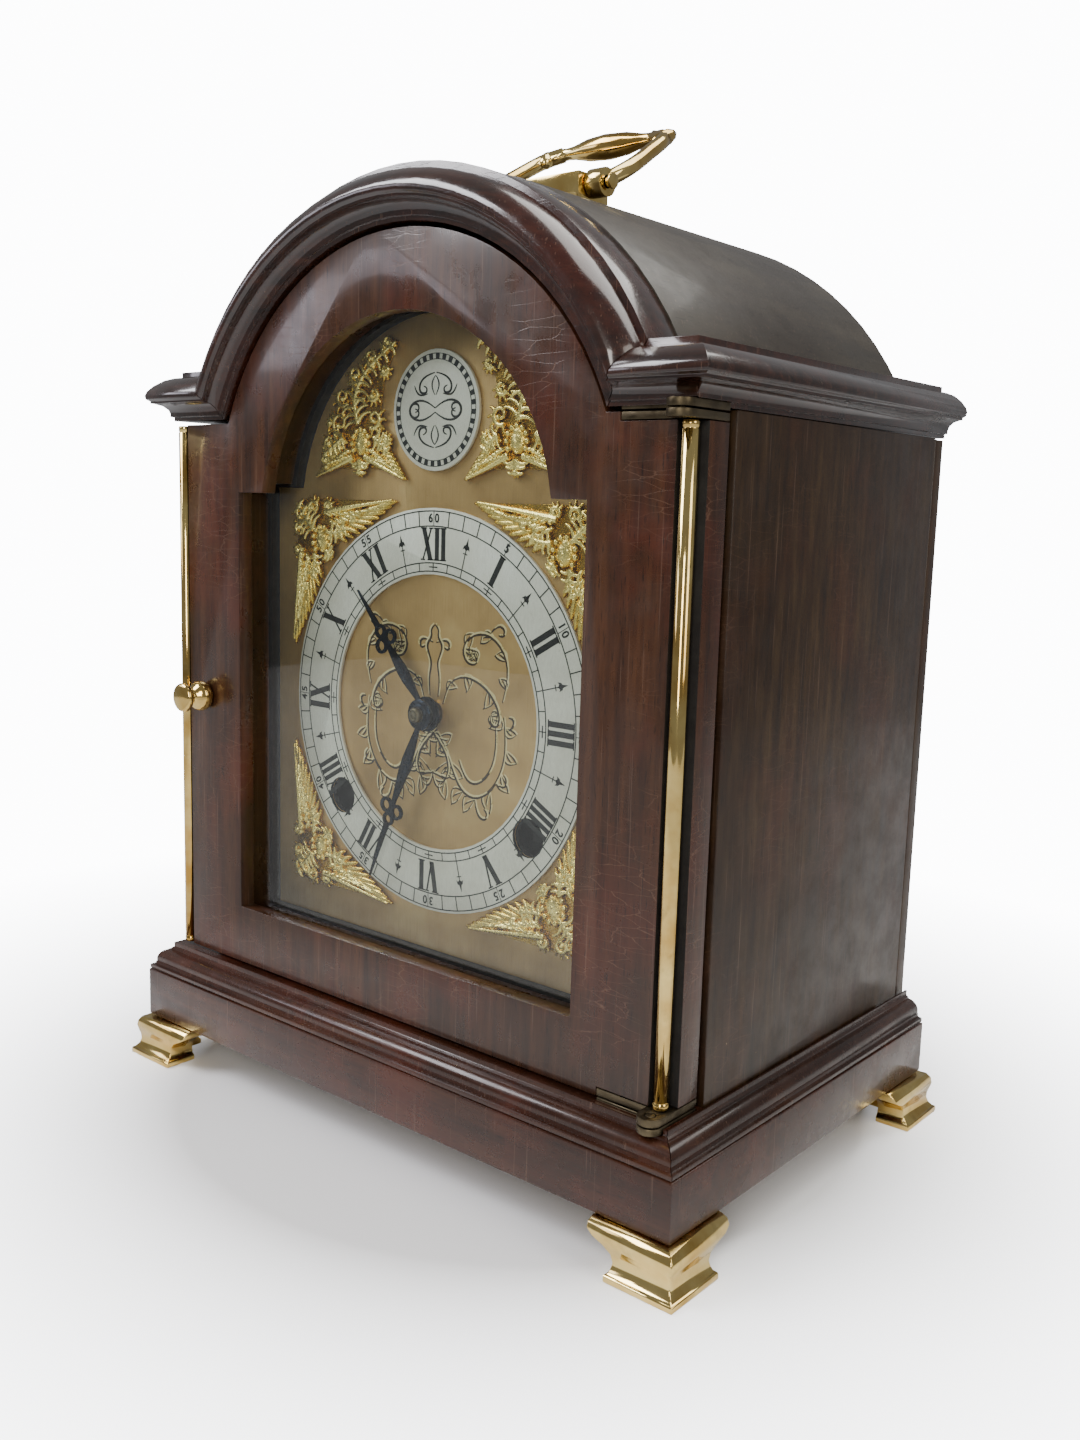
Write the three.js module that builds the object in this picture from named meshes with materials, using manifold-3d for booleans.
// Bracket clock in a break-arch mahogany case, built as separate pieces.
// Millimetres, +Z up, the front faces -Y, the origin is on the ground under the middle of the case.
import * as THREE from 'three';
import { mergeVertices } from 'three/addons/utils/BufferGeometryUtils.js';
import Module from 'manifold-3d';

const wasm = await Module();
wasm.setup();

// ---- Driving dimensions -------------------------------------------------------------------

// Running and seating gaps
const seatGap = 0.3;
const fitGap = 0.25;
const weldDistance = 1e-4;
const cutMargin = 5;
// Length of a cutter that passes right through the clock
const throughCut = 300;

// Plinth and feet
const footHeight = 14;
const footFlare = 4.5;
const footWing = 23.3;
const footWall = 6.5;
const plinthHalfWidth = 108;
const plinthHalfDepth = 70.7;
const plinthHeight = 16.1;
const plinthTop = footHeight + plinthHeight;
const baseMouldingHeight = 9.2;

// Carcase
const plinthProjection = 7;
const caseHalfWidth = plinthHalfWidth - plinthProjection;
const carcaseHeight = 183.1;
const caseWall = 7.7;
const caseBack = plinthHalfDepth - 6.7;
const caseFront = -47.1;
const frameThickness = 6;
const mouldingBackEnd = plinthHalfDepth - 0.3;

// Cornice, arch and roof: the moulding runs level at the shoulders and round the arch
const corniceBottom = plinthTop + carcaseHeight;
const shoulderRise = 29.8;
const archCentreZ = corniceBottom - shoulderRise;
const archInnerRadius = 80;
const corniceInnerX = archInnerRadius - 0.5;
const corniceReturnX = 60;
const corniceFaceX = caseHalfWidth - 0.9;
const corniceFaceY = 62.9;
const corniceBack = plinthHalfDepth + 1.3;
const corniceHeight = 15.3;
const roofRadius = archInnerRadius + corniceHeight + seatGap;
const roofThickness = 3.6;
const roofTop = archCentreZ + roofRadius;
const archFacets = 76;

// Front door
const doorFaceY = -62;
const doorBackY = -48;
const doorHalfWidth = caseHalfWidth - 0.6;
const doorBottom = plinthTop + baseMouldingHeight + 0.8;
const doorShoulder = corniceBottom - 1.2;
const doorArchRadius = archInnerRadius - 1.3;
const doorCornerChamfer = 1.6;
const columnRadius = 2.1;
const columnX = doorHalfWidth - 3.3;
const columnY = -60.8;
const columnRebateX = doorHalfWidth - 6.2;
const columnRebateY = -58;
const apertureHalfWidth = 68.4;
const apertureBottom = 58.6;
const apertureShoulder = 191.2;
const apertureArchRadius = 57.5;
const glassRebate = 3;
const glassFrontY = -56.6;
const glassThickness = 2;
const knobX = 14.9 - doorHalfWidth;
const knobZ = 126;

// Pivot hinges of the front door
const hingeY = -65;
const hingePlate = 1.9;
const hingeNose = 3.4;
const hingeX = doorHalfWidth - hingeNose;
const hingePinRadius = 1.3;
const hingeInnerX = doorHalfWidth - 22.4;
const hingeInnerY = -49.6;
const hingeLeg = 4.6;

// Rear door
const rearDoorHalfWidth = caseHalfWidth - 1.1;
const rearDoorFrontY = caseBack + 0.6;
const rearDoorBackY = rearDoorFrontY + 7;
const rearDoorBottom = plinthTop + 0.7;
const rearDoorTop = corniceBottom - 0.6;
const rearPivotX = rearDoorHalfWidth - 2.7;
const rearPivotY = rearDoorFrontY + 4.7;
const rearPinRadius = 1.4;
const rearPinLength = 9;
const rearFieldInset = 17;
const rearFieldDepth = 2.2;
const catchX = 11.9 - rearDoorHalfWidth;
const catchZ = 124;
const catchTongueY = caseBack - 9;
const catchTongueReach = 9;
const catchTongueWidth = 5;

// Carrying handle
const handlePivotY = -4;
const handlePivotZ = roofTop + 2.8;
const handlePivotX = 24;
const handleReach = 43;
const handleLean = 31;
const handleBaseHalfLength = 20.8;
const handleBaseFrontY = -10;
const handleBaseBackY = 4;
const handleBaseTop = roofTop + 5.6;

// Dial
const dialCentreZ = 128.6;
const dialHalfWidth = 70.5;
const dialBottom = 56.5;
const dialShoulder = 193.2;
const dialArchRadius = 59.5;
const dialFrontY = -44.2;
const dialThickness = 1.8;
const ringOuterRadius = 59.6;
const ringInnerRadius = 40.6;
const ringThickness = 0.9;
const bossZ = 215.5;
const bossRadius = 17;
const windingX = 38.5;
const windingDrop = 30.6;
const windingHoleRadius = 5.6;
const windingSquareFront = -40.6;
const spandrelThickness = 1.5;

// Hands
const hourHandAngle = 319;
const minuteHandAngle = 202.4;
const hourHandLength = 45.5;
const minuteHandLength = 57;
const hourHandY = -46.9;
const minuteHandY = -48.6;
const handThickness = 0.8;

// Movement
const frontPlateY = -32;
const backPlateY = 8;
const plateThickness = 2.4;
const plateHalfWidth = 58;
const plateBottom = 54.3;
const plateTop = 190;
const pillarInset = 8;
const pillarRadius = 3;
const arborRadius = 1.3;
const barrelRadius = 17;
const barrelFrontY = -26;
const barrelBackY = -3;
const greatWheelTeeth = 32;
const pinionLeaves = 8;
const centreWheelTeeth = 40;
const thirdWheelTeeth = 32;
const escapeTeeth = 15;
const escapeRadius = 12;
const thirdRise = 21;
const escapeRise = 18;
const anchorRise = 17;
const minuteWheelTeeth = 24;
const hourWheelTeeth = 32;
const motionDistance = 14;
const pendulumY = 17;
const pendulumLength = 96;
const bobRadius = 13;
const gongX = 21 - caseHalfWidth;
const gongY = 20;
const gongTop = 190;
const gongBlockHalf = 7;
const gongBlockHeight = 13;
const seatBoardTop = 54;
const seatBoardThickness = 8;

// Finishes
const finishes = {
  mahogany: { color: 0x4e322a, roughness: 0.35, metalness: 0 },
  darkMahogany: { color: 0x3b2a24, roughness: 0.45, metalness: 0 },
  pine: { color: 0xa98258, roughness: 0.7, metalness: 0 },
  brass: { color: 0xc9a24a, roughness: 0.3, metalness: 1 },
  agedBrass: { color: 0x7d6a3f, roughness: 0.5, metalness: 1 },
  dialBrass: { color: 0xb8965a, roughness: 0.45, metalness: 1 },
  gilt: { color: 0xc7a65a, roughness: 0.4, metalness: 1 },
  silvered: { color: 0xc9cdc8, roughness: 0.45, metalness: 0.6 },
  steel: { color: 0x9a9da1, roughness: 0.3, metalness: 1 },
  blackSteel: { color: 0x16181c, roughness: 0.3, metalness: 0.8 },
  glass: { color: 0xdfe8e6, roughness: 0.05, metalness: 0, transparent: true, opacity: 0.3 },
};

// ---- Helpers ------------------------------------------------------------------------------

/** Turns a closed three.js geometry into a solid that can be cut and joined. */
function solid(geometry) {
  const bare = geometry.index ? geometry.toNonIndexed() : geometry.clone();
  bare.deleteAttribute('normal');
  bare.deleteAttribute('uv');
  const welded = mergeVertices(bare, weldDistance);
  const mesh = new wasm.Mesh({
    numProp: 3,
    vertProperties: Float32Array.from(welded.attributes.position.array),
    triVerts: Uint32Array.from(welded.index.array),
  });
  return new wasm.Manifold(mesh);
}

/** Gives the geometry of a finished solid. */
function geometryOf(shape) {
  const mesh = shape.getMesh();
  const geometry = new THREE.BufferGeometry();
  geometry.setAttribute('position', new THREE.BufferAttribute(mesh.vertProperties, 3));
  geometry.setIndex(new THREE.BufferAttribute(mesh.triVerts, 1));
  geometry.computeVertexNormals();
  return geometry;
}

/** Joins solids into one. */
function join(...shapes) {
  return shapes.reduce((whole, next) => whole.add(next));
}

/** A block between two corners. */
function block([x0, x1], [y0, y1], [z0, z1]) {
  const geometry = new THREE.BoxGeometry(x1 - x0, y1 - y0, z1 - z0);
  geometry.translate((x0 + x1) / 2, (y0 + y1) / 2, (z0 + z1) / 2);
  return solid(geometry);
}

function shapeOf(points) {
  return new THREE.Shape(points.map(([a, b]) => new THREE.Vector2(a, b)));
}

function extruded(points, depth, basis, offset, holes = []) {
  const shape = shapeOf(points);
  holes.forEach((hole) => shape.holes.push(shapeOf(hole)));
  const geometry = new THREE.ExtrudeGeometry(shape, { depth, bevelEnabled: false, steps: 1 });
  geometry.applyMatrix4(new THREE.Matrix4().makeBasis(...basis));
  geometry.translate(...offset);
  return solid(geometry);
}

const axisX = new THREE.Vector3(1, 0, 0);
const axisY = new THREE.Vector3(0, 1, 0);
const axisZ = new THREE.Vector3(0, 0, 1);
const axisMinusY = new THREE.Vector3(0, -1, 0);

/** A flat plate drawn in front view (x, z), between two depths. */
function frontPlate(points, yFront, yBack, holes = []) {
  return extruded(points, yBack - yFront, [axisX, axisZ, axisMinusY], [0, yBack, 0], holes);
}

/** A bar with a side-view (y, z) outline, between two x positions. */
function sideBar(points, x0, x1) {
  return extruded(points, x1 - x0, [axisY, axisZ, axisX], [x0, 0, 0]);
}

/** A slab drawn in plan (x, y), between two heights. */
function planSlab(points, z0, z1) {
  return extruded(points, z1 - z0, [axisX, axisY, axisZ], [0, 0, z0]);
}

/** A round bar along Y. */
function rodY(x, z, radius, y0, y1, facets = 16) {
  const geometry = new THREE.CylinderGeometry(radius, radius, y1 - y0, facets);
  geometry.translate(x, (y0 + y1) / 2, z);
  return solid(geometry);
}

/** A round bar along X. */
function rodX(y, z, radius, x0, x1, facets = 16) {
  const geometry = new THREE.CylinderGeometry(radius, radius, x1 - x0, facets);
  geometry.rotateZ(-Math.PI / 2);
  geometry.translate((x0 + x1) / 2, y, z);
  return solid(geometry);
}

/** A round bar along Z. */
function rodZ(x, y, radius, z0, z1, facets = 16) {
  const geometry = new THREE.CylinderGeometry(radius, radius, z1 - z0, facets);
  geometry.rotateX(Math.PI / 2);
  geometry.translate(x, y, (z0 + z1) / 2);
  return solid(geometry);
}

/** A turned piece on an axis along Y. The closed profile holds [radius, y] pairs. */
function turnedY(profile, x, z, facets) {
  const points = [...profile, profile[0]].map(([r, y]) => new THREE.Vector2(r, y));
  const geometry = new THREE.LatheGeometry(points, facets);
  geometry.translate(x, 0, z);
  return solid(geometry);
}

/** Points on a circular arc, from one angle to another, in degrees. */
function arc(cx, cy, radius, from, to, steps) {
  return Array.from({ length: steps + 1 }, (_, i) => {
    const angle = THREE.MathUtils.degToRad(from + ((to - from) * i) / steps);
    return [cx + radius * Math.cos(angle), cy + radius * Math.sin(angle)];
  });
}

/** A full circle as a list of points. */
function circle(cx, cy, radius, steps) {
  return arc(cx, cy, radius, 0, 360, steps).slice(0, -1);
}

/** A break-arch outline: upright sides, level shoulders and a round arch above them. */
function breakArch(halfWidth, bottom, shoulder, radius, steps) {
  const start = THREE.MathUtils.radToDeg(Math.asin((shoulder - archCentreZ) / radius));
  return [
    [-halfWidth, bottom],
    [halfWidth, bottom],
    [halfWidth, shoulder],
    ...arc(0, archCentreZ, radius, start, 180 - start, steps),
    [-halfWidth, shoulder],
  ];
}

/** Mirrors a list of points left to right and keeps its winding. */
function mirrored(points) {
  return points.map(([x, z]) => [-x, z]).reverse();
}

/** Moves a list of points. */
function moved(points, dx, dz) {
  return points.map(([x, z]) => [x + dx, z + dz]);
}

/** Turns a list of points clockwise about the origin, as a clock hand turns. */
function clockwise(points, degrees) {
  const angle = THREE.MathUtils.degToRad(degrees);
  const [c, s] = [Math.cos(angle), Math.sin(angle)];
  return points.map(([x, z]) => [x * c + z * s, z * c - x * s]);
}

/** The outline of a toothed wheel. The first tooth points along the phase angle, in radians. */
function toothed(teeth, module, phase) {
  const pitch = (2 * Math.PI) / teeth;
  const radius = (teeth * module) / 2;
  const [tip, root] = [radius + 0.55 * module, radius - 0.95 * module];
  const corners = [[root, -0.24], [tip, -0.09], [tip, 0.09], [root, 0.24]];
  return Array.from({ length: teeth }, (_, i) => corners.map(([r, part]) => {
    const angle = phase + (i + part) * pitch;
    return [r * Math.cos(angle), r * Math.sin(angle)];
  })).flat();
}

/** Openings between the arms of a crossed-out wheel. */
function crossings(inner, outer, arms, armWidth) {
  return Array.from({ length: arms }, (_, i) => {
    const [from, to] = [(360 * i) / arms, (360 * (i + 1)) / arms];
    const outerTrim = THREE.MathUtils.radToDeg(armWidth / 2 / outer);
    const innerTrim = THREE.MathUtils.radToDeg(armWidth / 2 / inner);
    return [
      ...arc(0, 0, outer, from + outerTrim, to - outerTrim, 5),
      ...arc(0, 0, inner, to - innerTrim, from + innerTrim, 2),
    ];
  });
}

/** A wheel on an arbor along Y. */
function wheel(x, z, outline, yFront, yBack, holes = []) {
  return frontPlate(moved(outline, x, z), yFront, yBack, holes.map((hole) => moved(hole, x, z)));
}

const group = new THREE.Group();
group.name = 'bracket_clock';

/** Adds one finished piece to the clock. */
function piece(name, shape, finish) {
  const mesh = new THREE.Mesh(geometryOf(shape), new THREE.MeshStandardMaterial(finishes[finish]));
  mesh.name = name;
  mesh.material.name = finish;
  group.add(mesh);
}

// ---- Plinth and feet ----------------------------------------------------------------------

piece('plinth_block', block(
  [-plinthHalfWidth, plinthHalfWidth],
  [-plinthHalfDepth, plinthHalfDepth],
  [footHeight, plinthTop],
), 'mahogany');

const footTop = footHeight - seatGap;
// Outward steps from the plinth edge, from the top down, of the ogee face of a foot
const footOgee = [
  [0, footTop], [1.9, footTop - 0.8], [2.9, footTop - 2.2], [3.2, footTop - 3.8], [2.8, footTop - 5.4],
  [2.3, footTop - 7], [2.2, footTop - 8.8], [2.7, footTop - 10.4], [3.7, footTop - 11.6],
  [footFlare, footTop - 12.1], [footFlare, 0],
];
// The free end of a wing, from the ground up, measured inwards from the plinth edge
const footWingEnd = [
  [-16.3, 0], [-16.3, 1.6], [-15.5, 2.4], [-15.1, 4.4], [-15.8, 6.4], [-18, 8.4], [-21.2, 10],
  [-22.9, 11.2], [-footWing, 12.4], [-footWing, footTop],
];

/** One ogee bracket foot, mitred at its corner and hollow behind. */
function foot(sideX, sideY) {
  const profile = [...footOgee, ...footWingEnd].reverse();
  const across = profile.map(([d, z]) => [plinthHalfWidth + d, z]);
  const along = profile.map(([d, z]) => [plinthHalfDepth + d, z]);
  const [reachX, reachY] = [plinthHalfWidth + footFlare, plinthHalfDepth + footFlare];
  const frontWing = frontPlate(across, plinthHalfDepth - footWing, reachY + cutMargin);
  const sideWing = sideBar(along, plinthHalfWidth - footWing, reachX + cutMargin);
  const hollow = block(
    [0, plinthHalfWidth - footWall],
    [0, plinthHalfDepth - footWall],
    [-cutMargin, footHeight + cutMargin],
  );
  const corner = frontWing.intersect(sideWing).subtract(hollow);
  return corner.scale([sideX, sideY, 1]);
}

piece('foot_front_left', foot(-1, -1), 'brass');
piece('foot_front_right', foot(1, -1), 'brass');
piece('foot_rear_left', foot(-1, 1), 'brass');
piece('foot_rear_right', foot(1, 1), 'brass');

// Base moulding: outward steps from the carcase side, from the bottom up
const baseInset = seatGap;
const baseTop = plinthTop + baseMouldingHeight;
const baseProfile = [
  [baseInset, plinthTop + seatGap], [6.6, plinthTop + seatGap], [6.6, plinthTop + 1.5],
  [5.4, plinthTop + 1.7], [5.2, plinthTop + 2.7], ...arc(1.6, plinthTop + 3.3, 3.5, -10, 88, 6),
  [1.6, plinthTop + 7.3], [0.9, plinthTop + 7.8], [0.9, baseTop], [baseInset, baseTop],
];
const mitreCornerX = caseHalfWidth;
const mitreCornerY = plinthHalfWidth - caseHalfWidth - plinthHalfDepth;

/** Plan area of a side rail, cut at 45 degrees at its front end. */
function sideRailPlan(cornerX, cornerY, innerX, backY, gap) {
  const reach = 30;
  return [
    [innerX, backY], [innerX, cornerY + (cornerX - innerX) + gap],
    [cornerX + reach, cornerY - reach + gap], [cornerX + reach, backY],
  ];
}

function baseSideRail() {
  const outline = baseProfile.map(([d, z]) => [caseHalfWidth + d, z]);
  const run = frontPlate(outline, -throughCut, mouldingBackEnd);
  const plan = sideRailPlan(mitreCornerX, mitreCornerY, caseHalfWidth + baseInset, mouldingBackEnd, seatGap);
  return run.intersect(planSlab(plan, 0, corniceBottom));
}

const rightRail = baseSideRail();
piece('base_rail_right', rightRail, 'mahogany');
piece('base_rail_left', rightRail.mirror([1, 0, 0]), 'mahogany');

// ---- Carcase ------------------------------------------------------------------------------

const carcaseTop = corniceBottom - seatGap;
const carcaseBottom = plinthTop + seatGap;
const innerX = caseHalfWidth - caseWall;

const sidePanel = block([innerX, caseHalfWidth], [caseFront, caseBack], [carcaseBottom, carcaseTop]);
piece('side_panel_right', sidePanel, 'darkMahogany');
const catchSlot = block(
  [-caseHalfWidth + 2.4, -innerX + 1],
  [catchTongueY - 0.6, catchTongueY + 2.6],
  [catchZ - 4, catchZ + 12],
);
piece('side_panel_left', sidePanel.mirror([1, 0, 0]).subtract(catchSlot), 'darkMahogany');

const frameSide = innerX - seatGap;
const frameArchRadius = roofRadius - roofThickness - seatGap;
const frameNeck = corniceInnerX - seatGap;
const frameNeckAngle = THREE.MathUtils.radToDeg(Math.acos(frameNeck / frameArchRadius));
const headOutline = arc(0, archCentreZ, frameArchRadius, frameNeckAngle, 180 - frameNeckAngle, 28);
const dialOutline = breakArch(dialHalfWidth, dialBottom, dialShoulder, dialArchRadius, 24);
const dialOpening = breakArch(
  dialHalfWidth + seatGap, dialBottom - seatGap, dialShoulder + seatGap, dialArchRadius + seatGap, 24,
);
piece('front_frame', frontPlate([
  [-frameSide, carcaseBottom], [frameSide, carcaseBottom], [frameSide, carcaseTop],
  [frameNeck, carcaseTop], ...headOutline, [-frameNeck, carcaseTop], [-frameSide, carcaseTop],
], caseFront, caseFront + frameThickness, [dialOpening]), 'darkMahogany');

piece('rear_arch_panel', frontPlate([
  [-frameNeck, corniceBottom], [frameNeck, corniceBottom], ...headOutline,
], caseBack + 1, caseBack + 7), 'darkMahogany');

piece('seat_board', block(
  [-frameSide, frameSide],
  [-40, 30],
  [seatBoardTop - seatBoardThickness, seatBoardTop],
), 'pine');

// ---- Cornice, arch moulding and roof ------------------------------------------------------

// Outward steps from the cornice face and heights above its bottom edge
const corniceProfile = [
  [0, 0], [0, 1.2], [0.9, 1.3], [0.9, 2.2], [1.3, 3.4], [2.6, 4.6], [4.4, 5.2], [5.3, 5.3], [5.3, 5.9],
  [6.3, 6.5], [6.6, 7.6], [6.1, 9], [4.6, 10.8], [2.2, 12.6], [-0.2, 13.5], [-1.9, 13.7],
  [-1.9, corniceHeight],
];
const archProfile = [
  [archInnerRadius, caseFront - seatGap],
  ...corniceProfile.map(([d, h]) => [archInnerRadius + h, -(corniceFaceY + d)]),
  [archInnerRadius + corniceHeight, caseFront - seatGap],
];

// The joint between the level moulding and the arch lies where their profiles meet
function mitreX(height) {
  const rise = corniceBottom - archCentreZ + height;
  return Math.sqrt((archInnerRadius + height) ** 2 - rise ** 2);
}
const mitreFoot = [mitreX(0), corniceBottom];
const mitreHead = [mitreX(corniceHeight), corniceBottom + corniceHeight];
const mitreSlope = (mitreHead[0] - mitreFoot[0]) / corniceHeight;

function mitreLine(z, gap) {
  return [mitreFoot[0] + (z - corniceBottom) * mitreSlope + gap, z];
}

const archTop = archCentreZ + archInnerRadius + corniceHeight + cutMargin;
const lineTop = corniceBottom + corniceHeight + shoulderRise;
piece('arch_moulding', turnedY(archProfile, 0, archCentreZ, archFacets).intersect(frontPlate([
  mitreLine(corniceBottom, 0), mitreLine(lineTop, 0), [throughCut, lineTop], [throughCut, archTop],
  [-throughCut, archTop], [-throughCut, lineTop],
  ...mirrored([mitreLine(corniceBottom, 0), mitreLine(lineTop, 0)]),
], -throughCut, caseFront)), 'mahogany');

/** The right-hand cornice: a level run along the side, mitred round to a short front return. */
function corniceSide() {
  const [low, high] = [corniceBottom, corniceBottom + corniceHeight];
  const acrossWidth = frontPlate([
    [corniceReturnX, low],
    ...corniceProfile.map(([d, h]) => [corniceFaceX + d, low + h]),
    [corniceReturnX, high],
  ], -corniceFaceX, corniceBack);
  const acrossDepth = sideBar([
    [corniceBack, high],
    ...corniceProfile.map(([d, h]) => [-(corniceFaceY + d), low + h]).reverse(),
    [corniceBack, low],
  ], corniceReturnX, plinthHalfWidth);
  const inside = block([0, corniceInnerX], [caseFront - seatGap, plinthHalfWidth], [low - 1, high + 1]);
  const archSide = frontPlate([
    mitreLine(low - 1, seatGap), mitreLine(high + 1, seatGap), [0, high + 1], [0, low - 1],
  ], -plinthHalfWidth, caseFront);
  return acrossWidth.intersect(acrossDepth).subtract(inside).subtract(archSide);
}

const roofFootZ = corniceBottom + corniceHeight + seatGap;
piece('barrel_roof', turnedY([
  [roofRadius - roofThickness, caseFront], [roofRadius, caseFront],
  [roofRadius, corniceBack], [roofRadius - roofThickness, corniceBack],
], 0, archCentreZ, archFacets).intersect(
  block([-throughCut, throughCut], [-throughCut, throughCut], [roofFootZ, archTop]),
), 'mahogany');

// ---- Front door hinges --------------------------------------------------------------------

/** Plan of a pivot hinge plate: an L round the corner that ends in a round nose at the pivot. */
function hingePlan(grow) {
  const [face, edge] = [doorFaceY - grow, doorHalfWidth + grow];
  const [backOfFront, insideOfSide] = [doorFaceY + hingeLeg + grow, doorHalfWidth - hingeLeg - grow];
  const nose = hingeNose + grow;
  return [
    [hingeInnerX - grow, face], [hingeX - nose, face], ...arc(hingeX, hingeY, nose, 180, 360, 12),
    [edge, hingeInnerY + grow], [insideOfSide, hingeInnerY + grow], [insideOfSide, backOfFront],
    [hingeInnerX - grow, backOfFront],
  ];
}

/** The recess that a hinge plate is let into. */
function hingeRecess(z0, z1) {
  return planSlab(hingePlan(seatGap), z0, z1);
}

const upperDoorPlateTop = doorShoulder;
const upperDoorPlateBottom = upperDoorPlateTop - hingePlate;
const upperCasePlateBottom = upperDoorPlateTop + 0.5;
const upperCasePlateTop = upperCasePlateBottom + hingePlate;
const lowerDoorPlateBottom = doorBottom + 0.2;
const lowerDoorPlateTop = lowerDoorPlateBottom + hingePlate;
const lowerCasePlateTop = lowerDoorPlateBottom - 0.5;
const lowerCasePlateBottom = lowerCasePlateTop - hingePlate;

const pinBore = hingePinRadius + seatGap;
const upperCasePlate = join(
  planSlab(hingePlan(0), upperCasePlateBottom, upperCasePlateTop),
  rodZ(hingeX, hingeY, hingePinRadius, upperDoorPlateBottom, upperCasePlateBottom + 0.5, 12),
);
const lowerCasePlate = join(
  planSlab(hingePlan(0), lowerCasePlateBottom, lowerCasePlateTop),
  rodZ(hingeX, hingeY, hingePinRadius, lowerCasePlateTop - 0.5, lowerDoorPlateTop, 12),
);
const upperDoorPlate = planSlab(hingePlan(0), upperDoorPlateBottom, upperDoorPlateTop)
  .subtract(rodZ(hingeX, hingeY, pinBore, 0, throughCut, 12));
const lowerDoorPlate = planSlab(hingePlan(0), lowerDoorPlateBottom, lowerDoorPlateTop)
  .subtract(rodZ(hingeX, hingeY, pinBore, 0, throughCut, 12));
piece('upper_case_hinge_plate', upperCasePlate, 'agedBrass');
piece('lower_case_hinge_plate', lowerCasePlate, 'agedBrass');
piece('upper_door_hinge_plate', upperDoorPlate, 'agedBrass');
piece('lower_door_hinge_plate', lowerDoorPlate, 'agedBrass');

const frontRailOutline = [
  [caseFront - seatGap, plinthTop + seatGap],
  ...baseProfile.slice(1, -1).map(([d, z]) => [mitreCornerY - d, z]),
  [caseFront - seatGap, baseTop],
].reverse();
const frontRailReach = 30;
piece('base_rail_front', sideBar(frontRailOutline, -throughCut, throughCut).intersect(planSlab([
  [-caseHalfWidth - frontRailReach, mitreCornerY - frontRailReach],
  [caseHalfWidth + frontRailReach, mitreCornerY - frontRailReach],
  [caseHalfWidth, mitreCornerY], [caseHalfWidth, 0], [-caseHalfWidth, 0], [-caseHalfWidth, mitreCornerY],
], 0, corniceBottom)).subtract(hingeRecess(lowerCasePlateBottom - seatGap, doorBottom)), 'mahogany');

const cornice = corniceSide();
piece('cornice_left', cornice.mirror([1, 0, 0]), 'mahogany');
piece('cornice_right', cornice
  .subtract(hingeRecess(upperCasePlateBottom - 1, upperCasePlateTop + seatGap)), 'mahogany');

// ---- Front door ---------------------------------------------------------------------------

const doorOutline = breakArch(doorHalfWidth, doorBottom, doorShoulder, doorArchRadius, 32);
const apertureOutline = breakArch(
  apertureHalfWidth, apertureBottom, apertureShoulder, apertureArchRadius, 24,
);
const rebateOutline = breakArch(
  apertureHalfWidth + glassRebate, apertureBottom - glassRebate,
  apertureShoulder + glassRebate, apertureArchRadius + glassRebate, 24,
);
const glassOutline = breakArch(
  apertureHalfWidth + glassRebate - seatGap, apertureBottom - glassRebate + seatGap,
  apertureShoulder + glassRebate - seatGap, apertureArchRadius + glassRebate - seatGap, 24,
);

function columnRebate(side) {
  const [a, b] = [side * columnRebateX, side * (doorHalfWidth + 1)];
  return block([Math.min(a, b), Math.max(a, b)], [doorFaceY - 1, columnRebateY], [0, throughCut]);
}

const cornerRelief = planSlab([
  [doorHalfWidth - doorCornerChamfer, doorBackY], [doorHalfWidth + 1, doorBackY - doorCornerChamfer - 1],
  [doorHalfWidth + 1, doorBackY + 1], [doorHalfWidth - doorCornerChamfer, doorBackY + 1],
], 0, throughCut);

piece('door_frame', frontPlate(doorOutline, doorFaceY, doorBackY, [apertureOutline])
  .subtract(frontPlate(rebateOutline, glassFrontY - seatGap, doorBackY + 1))
  .subtract(columnRebate(1))
  .subtract(columnRebate(-1))
  .subtract(cornerRelief)
  .subtract(hingeRecess(upperDoorPlateBottom - seatGap, upperCasePlateTop + seatGap))
  .subtract(hingeRecess(doorBottom - 1, lowerDoorPlateTop + seatGap)), 'mahogany');
piece('door_glass', frontPlate(glassOutline, glassFrontY, glassFrontY + glassThickness), 'glass');

function column(x, bottom, top) {
  const bead = columnRadius + 0.25;
  return join(
    rodZ(x, columnY, columnRadius, bottom, top, 20),
    rodZ(x, columnY, bead, bottom, bottom + 2, 20),
    rodZ(x, columnY, bead, top - 2, top, 20),
  );
}

const columnBottom = lowerDoorPlateTop + seatGap;
const columnTop = upperDoorPlateBottom - seatGap;
piece('right_column', column(columnX, columnBottom, columnTop), 'brass');
piece('left_column', column(-columnX, doorBottom + seatGap, doorShoulder - seatGap), 'brass');

piece('door_knob', turnedY([
  [0, doorFaceY - seatGap], [0, doorFaceY - 10.4], [3.2, doorFaceY - 10.4], [4.5, doorFaceY - 9.6],
  [4.6, doorFaceY - 8.4], [3.2, doorFaceY - 7.2], [2.2, doorFaceY - 6.2], [3.4, doorFaceY - 5],
  [4.8, doorFaceY - 3.4], [4.8, doorFaceY - 1.8], [3.8, doorFaceY - seatGap],
], knobX, knobZ, 20), 'brass');

// ---- Rear door ----------------------------------------------------------------------------

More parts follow.
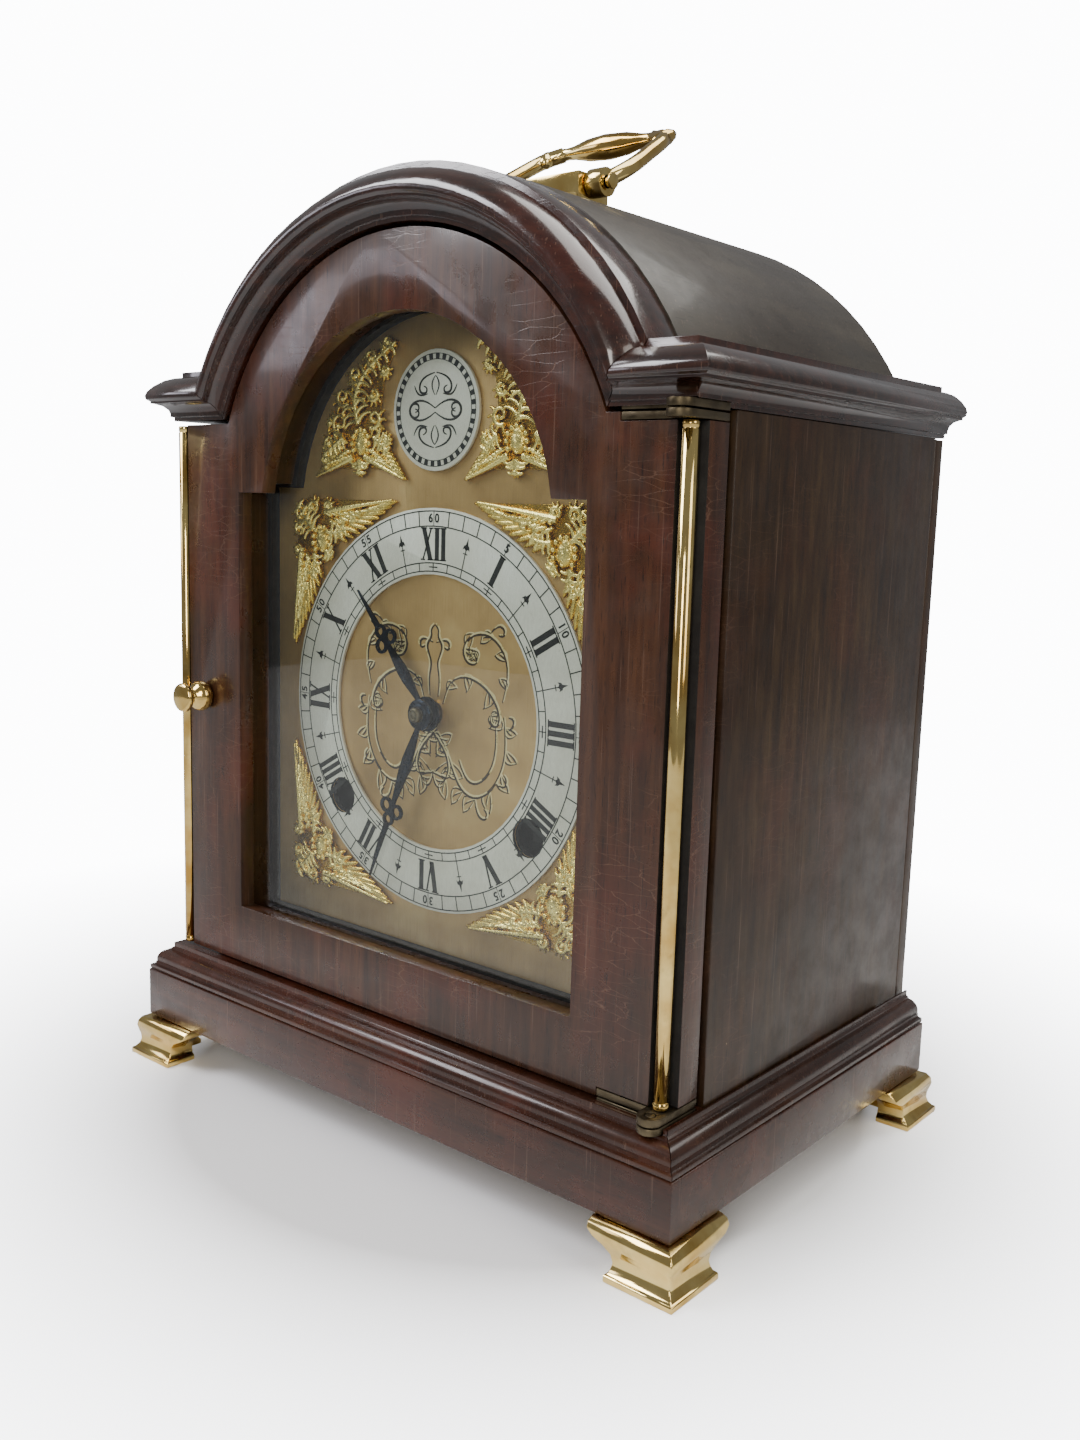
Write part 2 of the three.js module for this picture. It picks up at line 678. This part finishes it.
const rearChamfer = 2;
const rearDoorPlan = [
  [-rearDoorHalfWidth, rearDoorFrontY], [rearDoorHalfWidth - rearChamfer, rearDoorFrontY],
  [rearDoorHalfWidth, rearDoorFrontY + rearChamfer], [rearDoorHalfWidth, rearDoorBackY],
  [-rearDoorHalfWidth, rearDoorBackY],
];
const rearBore = rearPinRadius + seatGap;
const rearHalfPin = rearPinLength / 2;
const catchShaftRadius = 2.2;
piece('rear_door', planSlab(rearDoorPlan, rearDoorBottom, rearDoorTop)
  .subtract(block(
    [-rearDoorHalfWidth + rearFieldInset, rearDoorHalfWidth - rearFieldInset],
    [rearDoorBackY - rearFieldDepth, rearDoorBackY + 1],
    [rearDoorBottom + rearFieldInset, rearDoorTop - rearFieldInset],
  ))
  .subtract(rodZ(rearPivotX, rearPivotY, rearBore, rearDoorBottom - 1, rearDoorBottom + rearHalfPin, 12))
  .subtract(rodZ(rearPivotX, rearPivotY, rearBore, rearDoorTop - rearHalfPin, rearDoorTop + 1, 12))
  .subtract(rodY(catchX, catchZ, catchShaftRadius + seatGap, 60, 80, 16)), 'mahogany');

const lowerPinSocket = rodZ(
  rearPivotX, rearPivotY, rearPinRadius, plinthTop + seatGap, rearDoorBottom + rearHalfPin - 0.6, 12,
);
const upperPinSocket = rodZ(
  rearPivotX, rearPivotY, rearPinRadius, rearDoorTop - rearHalfPin + 0.6, corniceBottom - seatGap, 12,
);
piece('rear_pivot_lower', lowerPinSocket, 'brass');
piece('rear_pivot_upper', upperPinSocket, 'brass');

piece('rear_turn_catch', join(
  rodY(catchX, catchZ, catchShaftRadius, catchTongueY, rearDoorBackY + 1, 16),
  turnedY([
    [0, rearDoorBackY + seatGap], [4.4, rearDoorBackY + seatGap], [4.4, rearDoorBackY + 1.2],
    [3, rearDoorBackY + 2], [0, rearDoorBackY + 2],
  ], catchX, catchZ, 16),
  block([catchX - 0.8, catchX + 0.8], [rearDoorBackY + 1.5, rearDoorBackY + 3.4], [catchZ - 4, catchZ + 4]),
  block(
    [catchX - catchTongueWidth / 2, catchX + catchTongueWidth / 2],
    [catchTongueY, catchTongueY + 2],
    [catchZ - catchTongueWidth / 2, catchZ + catchTongueReach],
  ),
), 'brass');

// ---- Carrying handle ----------------------------------------------------------------------

piece('handle_base', join(
  block(
    [-handleBaseHalfLength, handleBaseHalfLength],
    [handleBaseFrontY, handleBaseBackY],
    [roofTop - 2, handleBaseTop],
  ),
  rodX(handlePivotY, handlePivotZ, 1.6, -handlePivotX - 4.2, handlePivotX + 4.2, 14),
  rodX(handlePivotY, handlePivotZ, 2.2, handlePivotX + 4, handlePivotX + 5, 14),
  rodX(handlePivotY, handlePivotZ, 2.2, -handlePivotX - 5, -handlePivotX - 4, 14),
).subtract(rodY(0, archCentreZ, roofRadius + seatGap, -throughCut, throughCut, archFacets * 2)), 'brass');

/** The bail in its own upright plane: a bulged grip between two scrolled arms. */
function bail() {
  const gripZ = handleReach - 3;
  const cornerX = 21;
  const grip = new THREE.LatheGeometry([
    [0, -cornerX], [2.2, -cornerX], [1.9, -16], [2.2, -13], [3.5, -7], [4, 0], [3.5, 7], [2.2, 13],
    [1.9, 16], [2.2, cornerX], [0, cornerX],
  ].map(([r, y]) => new THREE.Vector2(r, y)), 12);
  grip.rotateZ(-Math.PI / 2);
  grip.translate(0, 0, gripZ);
  const armPath = new THREE.CatmullRomCurve3([
    [handlePivotX, 0], [handlePivotX + 2.6, 7], [handlePivotX + 3.2, 15], [handlePivotX + 2, 23],
    [handlePivotX + 1.2, 30], [handlePivotX - 0.6, 36.4], [cornerX - 3, gripZ],
  ].map(([x, z]) => new THREE.Vector3(x, 0, z)));
  const armSection = new THREE.Shape(circle(0, 0, 2.4, 8).map(([a, b]) => new THREE.Vector2(a, b)));
  const arm = solid(new THREE.ExtrudeGeometry(armSection, { steps: 11, extrudePath: armPath }));
  const eye = rodX(0, 0, 4.1, handlePivotX - 2.6, handlePivotX + 2.6, 18);
  const tip = new THREE.SphereGeometry(2.5, 10, 6);
  tip.scale(1, 1, 2);
  tip.rotateY(Math.PI / 9);
  tip.translate(handlePivotX - 1, 0, handleReach - 6);
  const side = join(arm, eye, solid(tip));
  return join(solid(grip), side, side.mirror([1, 0, 0]))
    .subtract(rodX(0, 0, 1.6 + seatGap, -60, 60, 14));
}

piece('handle', bail()
  .rotate([-(90 - handleLean), 0, 0])
  .translate([0, handlePivotY, handlePivotZ]), 'brass');

// ---- Dial ---------------------------------------------------------------------------------

const dialBackY = dialFrontY + dialThickness;
const windingHoles = [-windingX, windingX].map(
  (x) => circle(x, dialCentreZ - windingDrop, windingHoleRadius, 20),
);
const feet = [[-50, 62], [50, 62], [-50, 182], [50, 182]].map(
  ([x, z]) => rodY(x, z, 2.2, dialBackY - 0.5, frontPlateY - seatGap, 10),
);
piece('dial_plate', join(
  frontPlate(dialOutline, dialFrontY, dialBackY, [
    circle(0, dialCentreZ, 3.6, 16), ...windingHoles,
  ]),
  ...feet,
), 'dialBrass');

const reliefBack = dialFrontY - seatGap;
piece('chapter_ring', frontPlate(
  circle(0, dialCentreZ, ringOuterRadius, 64), reliefBack - ringThickness, reliefBack,
  [circle(0, dialCentreZ, ringInnerRadius, 56), ...windingHoles],
), 'silvered');
piece('arch_boss', frontPlate(circle(0, bossZ, bossRadius, 40), reliefBack - 1.1, reliefBack), 'silvered');

/** A corner mount: an open-work style leaf shape with lobed outer edges. */
function cornerSpandrel() {
  const inner = arc(0, 0, 61.6, 74, 16, 8);
  const lobe = (from, to, bulge) => Array.from({ length: 9 }, (_, i) => {
    const t = (i + 0.5) / 9;
    const swell = bulge * Math.abs(Math.sin(t * Math.PI * 3));
    const across = from[0] === to[0] ? [swell, 0] : [0, swell];
    return [from[0] + (to[0] - from[0]) * t + across[0], from[1] + (to[1] - from[1]) * t + across[1]];
  });
  return [
    ...inner,
    ...lobe([61.6, 18.5], [61.6, 60.6], 2.4),
    [64, 62.6],
    ...lobe([61, 61], [18.5, 61], 2.2),
  ].reverse();
}

/** A mount for one side of the arch, curved round the boss. */
function archSpandrel() {
  const outer = arc(0, archCentreZ - bossZ, 54.6, 13.5, 74, 10);
  const inner = arc(0, 0, 20.4, 58, -58, 8).map(([x, z]) => [x, z]);
  return [
    [47.5, archCentreZ - bossZ + 9.8], ...outer, ...inner, [22, archCentreZ - bossZ + 11.4],
    [34, archCentreZ - bossZ + 10.2],
  ];
}

const spandrelFront = reliefBack - spandrelThickness;
const corner = cornerSpandrel();
const upsideDown = (points) => points.map(([x, z]) => [x, -z]).reverse();
const spandrels = {
  spandrel_top_right: moved(corner, 0, dialCentreZ),
  spandrel_top_left: moved(mirrored(corner), 0, dialCentreZ),
  spandrel_bottom_right: moved(upsideDown(corner), 0, dialCentreZ),
  spandrel_bottom_left: moved(mirrored(upsideDown(corner)), 0, dialCentreZ),
  arch_spandrel_right: moved(archSpandrel(), 0, bossZ),
  arch_spandrel_left: moved(mirrored(archSpandrel()), 0, bossZ),
};
Object.entries(spandrels).forEach(([name, outline]) => {
  piece(name, frontPlate(outline, spandrelFront, reliefBack), 'gilt');
});

// ---- Hands --------------------------------------------------------------------------------

/** A straight hand drawn pointing up: a hub, a leaf blade, a pierced trefoil and a fine point. */
function hand(length, hub, loopAt, angle, yFront, boreRadius) {
  const root = hub * 0.6;
  const steps = 9;
  const loopZ = root + (length - root) * loopAt;
  const edge = Array.from({ length: steps + 1 }, (_, i) => {
    const t = i / steps;
    return [0.6 + 1.3 * Math.sin(t * Math.PI) ** 2, root + (loopZ - root) * t];
  });
  edge.push([0.9, loopZ + 6.4], [0.12, length]);
  const blade = [...edge, ...edge.toReversed().map(([half, z]) => [-half, z])];
  const loops = [[-2.4, loopZ, 2.4], [2.4, loopZ, 2.4], [0, loopZ + 3.7, 2.2]];
  const place = (points) => moved(clockwise(points, angle), 0, dialCentreZ);
  const cut = (points) => frontPlate(place(points), yFront - 1, yFront + handThickness + 1);
  const body = (points) => frontPlate(place(points), yFront, yFront + handThickness);
  const rings = loops.map(([x, z, radius]) => body(circle(x, z, radius, 14)));
  const eyes = loops.map(([x, z, radius]) => cut(circle(x, z, radius - 0.95, 10)));
  const whole = join(body(blade), body(circle(0, 0, hub, 18)), ...rings);
  return [...eyes, cut(circle(0, 0, boreRadius, 14))].reduce((rest, next) => rest.subtract(next), whole);
}

const pipeRadius = 3;
const centreArborFront = minuteHandY - 0.5;
const hourPipeBore = arborRadius + seatGap;
piece('hour_hand', hand(hourHandLength, 5.2, 0.55, hourHandAngle, hourHandY - handThickness,
  pipeRadius + fitGap), 'blackSteel');
piece('minute_hand', hand(minuteHandLength, 4.2, 0.55, minuteHandAngle, minuteHandY - handThickness,
  arborRadius + fitGap), 'blackSteel');
const colletBack = minuteHandY - handThickness - 0.1;
piece('hand_collet', turnedY([
  [arborRadius + fitGap, colletBack], [4.6, colletBack], [4.6, colletBack - 1.2], [3.8, colletBack - 1.9],
  [2.1, colletBack - 1.9], [2.1, colletBack - 3.6], [arborRadius + fitGap, colletBack - 3.6],
].reverse(), 0, dialCentreZ, 20), 'blackSteel');

// ---- Movement -----------------------------------------------------------------------------

const trainBackY = backPlateY - seatGap;
const trainFrontY = frontPlateY + plateThickness + seatGap;
const windingZ = dialCentreZ - windingDrop;
const pillarSpots = [
  [-plateHalfWidth + pillarInset, plateBottom + pillarInset],
  [plateHalfWidth - pillarInset, plateBottom + pillarInset],
  [-plateHalfWidth + pillarInset, plateTop - pillarInset],
  [plateHalfWidth - pillarInset, plateTop - pillarInset],
];
const plateOutline = [
  [-plateHalfWidth, plateBottom], [plateHalfWidth, plateBottom], [plateHalfWidth, plateTop],
  [-plateHalfWidth, plateTop],
];
const winderHoles = [-windingX, windingX].map((x) => circle(x, windingZ, 3.2, 14));
piece('front_plate', frontPlate(plateOutline, frontPlateY, frontPlateY + plateThickness, [
  circle(0, dialCentreZ, arborRadius + seatGap + 0.2, 12), ...winderHoles,
]), 'brass');

const anchorZ = dialCentreZ + thirdRise + escapeRise + anchorRise;
piece('back_plate', join(
  frontPlate(plateOutline, backPlateY, backPlateY + plateThickness, [circle(0, anchorZ, 2.2, 12)]),
  ...pillarSpots.map(([x, z]) => rodY(x, z, pillarRadius, frontPlateY + plateThickness + seatGap,
    backPlateY + 0.5, 12)),
  block([-5, 5], [backPlateY + plateThickness - 0.5, pendulumY + 4], [plateTop - 2.4, plateTop]),
), 'brass');

// The winding side: an arbor with a squared end inside a barrel with the great wheel
const halfwayX = windingX / 2;
const halfwayZ = dialCentreZ - windingDrop / 2;
const trainDistance = Math.hypot(halfwayX, windingDrop / 2);
const trainModule = (2 * trainDistance) / (greatWheelTeeth + pinionLeaves);
const towardsCentre = Math.atan2(windingDrop / 2, -halfwayX);
const winderRadius = 2.6;

function barrel(x, phase) {
  const bore = circle(0, 0, winderRadius + seatGap, 16);
  const rim = wheel(x, windingZ, toothed(greatWheelTeeth, trainModule, phase), barrelBackY, -1, [bore]);
  const drum = wheel(x, windingZ, circle(0, 0, barrelRadius, 32), barrelFrontY, barrelBackY + 0.5, [bore]);
  return join(rim, drum);
}

piece('going_barrel', barrel(windingX, towardsCentre), 'brass');
piece('strike_barrel', barrel(-windingX, Math.PI - towardsCentre), 'brass');

function winder(x) {
  const square = 4.2 / 2;
  return join(
    rodY(x, windingZ, winderRadius, -37, trainBackY, 16),
    block([x - square, x + square], [windingSquareFront, -36.5], [windingZ - square, windingZ + square]),
  );
}

piece('going_winding_arbor', winder(windingX), 'steel');
piece('strike_winding_arbor', winder(-windingX), 'steel');

const halfLeaf = Math.PI / pinionLeaves;
piece('intermediate_wheel', join(
  rodY(halfwayX, halfwayZ, arborRadius, trainFrontY, trainBackY, 10),
  wheel(halfwayX, halfwayZ, toothed(pinionLeaves, trainModule, towardsCentre + Math.PI + halfLeaf), -4, 0),
  wheel(halfwayX, halfwayZ, toothed(greatWheelTeeth, trainModule, towardsCentre), 3, 4.6,
    crossings(5, 15.5, 4, 3)),
), 'brass');

const centreModule = (2 * thirdRise) / (centreWheelTeeth + pinionLeaves);
const motionModuleA = (2 * motionDistance) / (minuteWheelTeeth + pinionLeaves);
const motionModuleB = (2 * motionDistance) / (hourWheelTeeth + pinionLeaves);
const up = Math.PI / 2;
piece('centre_wheel', join(
  rodY(0, dialCentreZ, arborRadius, colletBack - 3.2, trainBackY, 12),
  wheel(0, dialCentreZ, toothed(pinionLeaves, trainModule, towardsCentre + Math.PI + halfLeaf), 2, 5.6),
  wheel(0, dialCentreZ, toothed(centreWheelTeeth, centreModule, up), -28.4, -27, crossings(4, 14.5, 4, 2.4)),
  wheel(0, dialCentreZ, toothed(pinionLeaves, motionModuleA, -up), -37.4, -34),
), 'brass');

const thirdZ = dialCentreZ + thirdRise;
const escapeModule = (2 * escapeRise) / (thirdWheelTeeth + pinionLeaves);
piece('third_wheel', join(
  rodY(0, thirdZ, arborRadius, trainFrontY, trainBackY, 10),
  wheel(0, thirdZ, toothed(pinionLeaves, centreModule, -up + halfLeaf), -29, -26),
  wheel(0, thirdZ, toothed(thirdWheelTeeth, escapeModule, up), -22, -20.6, crossings(4, 11.5, 4, 2.2)),
), 'brass');

const escapeZ = thirdZ + escapeRise;
const escapeOutline = Array.from({ length: escapeTeeth }, (_, i) => {
  const pitch = (2 * Math.PI) / escapeTeeth;
  return [[9.4, 0], [9.4, 0.5], [escapeRadius, 0.86], [escapeRadius, 0.92]].map(([r, part]) => {
    const angle = (i + part) * pitch;
    return [r * Math.cos(angle), r * Math.sin(angle)];
  });
}).flat();
piece('escape_wheel', join(
  rodY(0, escapeZ, arborRadius, trainFrontY, trainBackY, 10),
  wheel(0, escapeZ, toothed(pinionLeaves, escapeModule, -up + halfLeaf), -23, -19.6),
  wheel(0, escapeZ, escapeOutline, 1, 2.2, crossings(3.4, 7.6, 4, 1.8)),
), 'brass');

const palletSpread = 52;
const palletClearance = 1.3;
const anchorOutline = [
  ...arc(0, -anchorRise, escapeRadius + 4, 90 - palletSpread, 90 + palletSpread, 10),
  ...arc(0, -anchorRise, escapeRadius + palletClearance, 90 + palletSpread, 90 - palletSpread, 10),
];
const crutchDrop = 36;
piece('anchor', join(
  rodY(0, anchorZ, arborRadius, -6, 13.6, 10),
  wheel(0, anchorZ, anchorOutline, 0.4, 2.8),
  block([-1.6, 1.6], [0.4, 2.8], [anchorZ - 3.4, anchorZ]),
  block([-1.2, 1.2], [12.4, 13.6], [anchorZ - crutchDrop, anchorZ]),
  block([-3, 3], [12.4, 13.6], [anchorZ - crutchDrop - 2, anchorZ - crutchDrop]),
  block([-3, -1.6], [12.4, 19], [anchorZ - crutchDrop - 2, anchorZ - crutchDrop]),
  block([1.6, 3], [12.4, 19], [anchorZ - crutchDrop - 2, anchorZ - crutchDrop]),
), 'steel');

piece('pendulum', join(
  rodZ(0, pendulumY, 1.1, anchorZ - pendulumLength, anchorZ + 1, 10),
  block([-2.4, 2.4], [pendulumY - 2.4, pendulumY + 2.4], [anchorZ - 3, plateTop - 2.4 - seatGap]),
  turnedY([
    [0, pendulumY - 4], [bobRadius - 3, pendulumY - 4], [bobRadius, pendulumY], [bobRadius - 3, pendulumY + 4],
    [0, pendulumY + 4],
  ], 0, anchorZ - pendulumLength, 24),
), 'brass');

// Motion work between the dial and the front plate
const minuteWheelZ = dialCentreZ - motionDistance;
piece('minute_wheel', join(
  rodY(0, minuteWheelZ, arborRadius, -41.8, frontPlateY - seatGap, 10),
  wheel(0, minuteWheelZ, toothed(minuteWheelTeeth, motionModuleA, up + Math.PI / minuteWheelTeeth),
    -36.4, -35),
  wheel(0, minuteWheelZ, toothed(pinionLeaves, motionModuleB, up), -41.6, -38.2),
), 'brass');
piece('hour_wheel', wheel(0, dialCentreZ, circle(0, 0, pipeRadius, 16), hourHandY - 1, -38.4)
  .add(wheel(0, dialCentreZ, toothed(hourWheelTeeth, motionModuleB, -up + Math.PI / hourWheelTeeth),
    -40.6, -39.2))
  .subtract(rodY(0, dialCentreZ, hourPipeBore, -60, 0, 12)), 'brass');

// Strike: a hammer on the back plate and a rod gong on the seat board
const hammerX = -44;
const hammerZ = 92;
const hammerHead = [gongX + 7.5, 142];
const hammerBack = backPlateY + plateThickness + seatGap;
piece('hammer', join(
  rodY(hammerX, hammerZ, 3, hammerBack, hammerBack + 10.5, 12),
  frontPlate([
    [hammerX - 2, hammerZ + 1], [hammerX + 2, hammerZ + 1], [hammerHead[0] + 1.2, hammerHead[1]],
    [hammerHead[0] - 1.2, hammerHead[1]],
  ], gongY - 1, gongY + 0.6),
  rodX(gongY, hammerHead[1], 4, hammerHead[0] - 4.8, hammerHead[0] + 4.8, 14),
), 'brass');
piece('rod_gong', join(
  block(
    [gongX - gongBlockHalf, gongX + gongBlockHalf],
    [gongY - gongBlockHalf, gongY + gongBlockHalf],
    [seatBoardTop + seatGap, seatBoardTop + gongBlockHeight],
  ),
  rodZ(gongX, gongY, 1.5, seatBoardTop + gongBlockHeight - 1, gongTop, 10),
), 'steel');

export default group;
